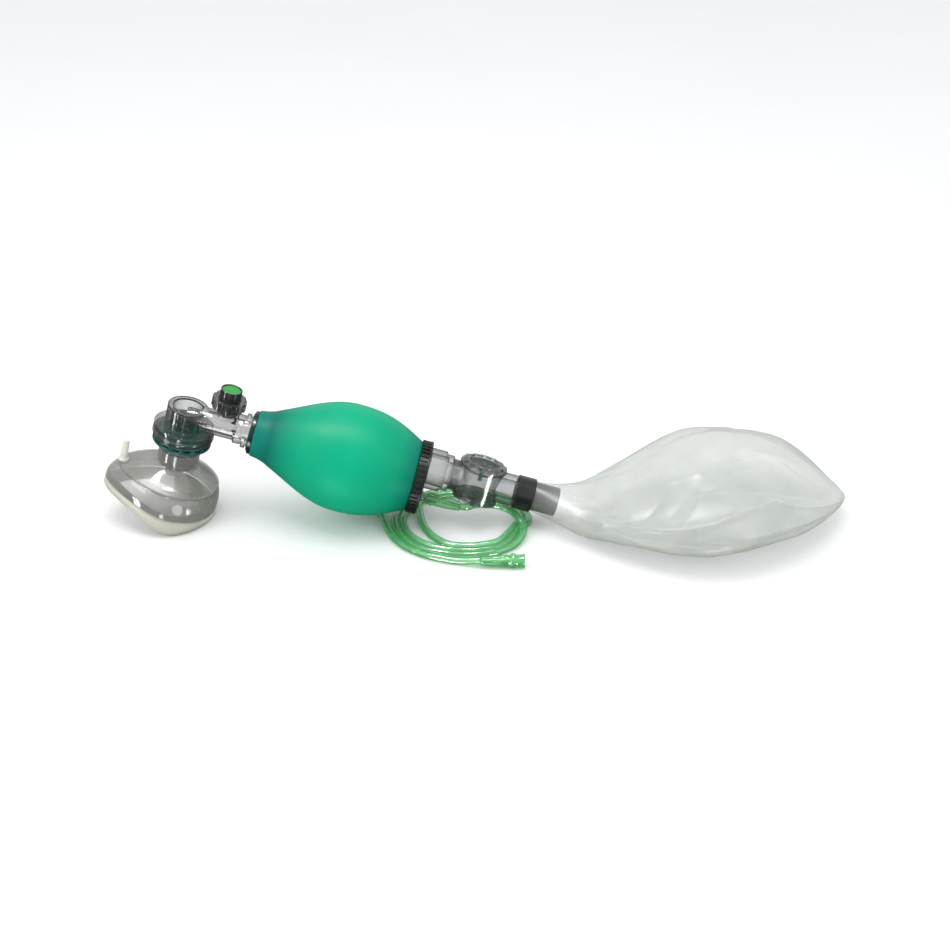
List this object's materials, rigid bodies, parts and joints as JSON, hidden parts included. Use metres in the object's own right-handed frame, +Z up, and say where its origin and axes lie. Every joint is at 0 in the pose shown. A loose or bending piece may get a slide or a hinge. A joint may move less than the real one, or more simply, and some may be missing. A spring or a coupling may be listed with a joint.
{
  "type": "bag valve mask",
  "caption": "Hand-squeezed breathing bag with patient valve, clear face mask, oxygen reservoir bag and coiled oxygen tubing.",
  "frame": {"origin": "on the floor under the middle of the box round the mask, squeeze bag and reservoir bag", "axes": "+X from the mask to the reservoir bag along the floor, +Z up"},
  "size_m": [0.556, 0.1712, 0.1089],
  "materials": {
    "clear": "clear smoke-tinted moulded plastic",
    "silicone": "teal silicone rubber",
    "grey_plastic": "grey moulded plastic",
    "cushion": "milky soft vinyl, air filled",
    "white_vinyl": "off-white vinyl",
    "black_plastic": "black moulded plastic",
    "black_rubber": "black rubber",
    "green_indicator": "bright green plastic",
    "teal_plastic": "teal plastic",
    "spring_steel": "spring steel wire",
    "bag_silicone": "green silicone, satin",
    "film": "thin milky polyethylene film",
    "tubing": "translucent green vinyl tubing"
  },
  "bodies": {
    "resuscitator": {"exhaust_housing": "clear", "valve_body": "clear", "duckbill_valve": "silicone", "castle_ring": "silicone", "relief_body": "clear", "relief_spring": "spring_steel", "relief_cap": "black_plastic", "neck_coupling": "clear", "coupling_clips": "black_plastic", "neck_seal": "silicone", "neck_ring": "black_plastic", "squeeze_bag": "bag_silicone", "rear_nut": "black_plastic", "intake_housing": "clear", "intake_seat": "clear", "oxygen_nipple": "clear", "reservoir_barrel": "clear", "barrel_cap": "clear", "barrel_floor": "clear", "tube_socket": "tubing", "oxygen_tube": "tubing", "oxygen_coil": "tubing", "tube_end": "tubing"},
    "flap": {"exhalation_flap": "silicone"},
    "patient_port": {"patient_connector": "grey_plastic"},
    "mask": {"mask_connector": "grey_plastic", "mask_dome": "clear", "mask_cushion": "cushion", "strap_studs": "clear", "inflation_tube": "white_vinyl"},
    "plug": {"inflation_plug": "white_vinyl"},
    "relief": {"relief_poppet": "teal_plastic", "relief_disc": "green_indicator"},
    "collar": {"relief_collar": "clear"},
    "intake_flap": {"intake_valve": "silicone"},
    "reservoir_relief_flap": {"reservoir_relief": "silicone"},
    "air_inlet_flap": {"air_inlet_valve": "silicone"},
    "reservoir": {"reservoir_sleeve": "black_rubber", "reservoir_connector": "grey_plastic", "reservoir_bag": "film"}
  },
  "joints": [
    {"name": "flap_lift", "type": "slide", "parent": "resuscitator", "child": "flap", "axis": [0.2656, 0, 0.9641], "range_m": [0, 0.0016], "stiffness_N_per_m": 20},
    {"name": "patient_swivel", "type": "hinge", "parent": "resuscitator", "child": "patient_port", "pos_m": [-0.21877, -0.00767, 0.05608], "axis": [0.2656, 0, 0.9641], "continuous": true},
    {"name": "mask_pull_off", "type": "slide", "parent": "patient_port", "child": "mask", "axis": [-0.2656, 0, -0.9641], "range_m": [0, 0.035]},
    {"name": "inflation_plug_pull", "type": "slide", "parent": "mask", "child": "plug", "axis": [0.2656, 0, 0.9641], "range_m": [0, 0.006]},
    {"name": "relief_lift", "type": "slide", "parent": "resuscitator", "child": "relief", "axis": [0.2656, 0, 0.9641], "range_m": [0, 0.0022], "stiffness_N_per_m": 300, "deforming": ["relief_spring"]},
    {"name": "relief_collar_turn", "type": "hinge", "parent": "resuscitator", "child": "collar", "pos_m": [-0.17855, -0.00767, 0.09479], "axis": [0.2656, 0, 0.9641], "range_deg": [0, 90]},
    {"name": "intake_valve_lift", "type": "slide", "parent": "resuscitator", "child": "intake_flap", "axis": [-0.9641, 0, 0.2656], "range_m": [0, 0.0015], "stiffness_N_per_m": 20},
    {"name": "reservoir_relief_lift", "type": "slide", "parent": "resuscitator", "child": "reservoir_relief_flap", "axis": [0.2636, 0.1219, 0.9569], "range_m": [0, 0.0012], "stiffness_N_per_m": 20},
    {"name": "air_inlet_lift", "type": "slide", "parent": "resuscitator", "child": "air_inlet_flap", "axis": [0.2636, 0.1219, 0.9569], "range_m": [0, 0.0015], "stiffness_N_per_m": 20},
    {"name": "reservoir_pull_off", "type": "slide", "parent": "resuscitator", "child": "reservoir", "axis": [0.9641, 0, -0.2656], "range_m": [0, 0.012]}
  ]
}
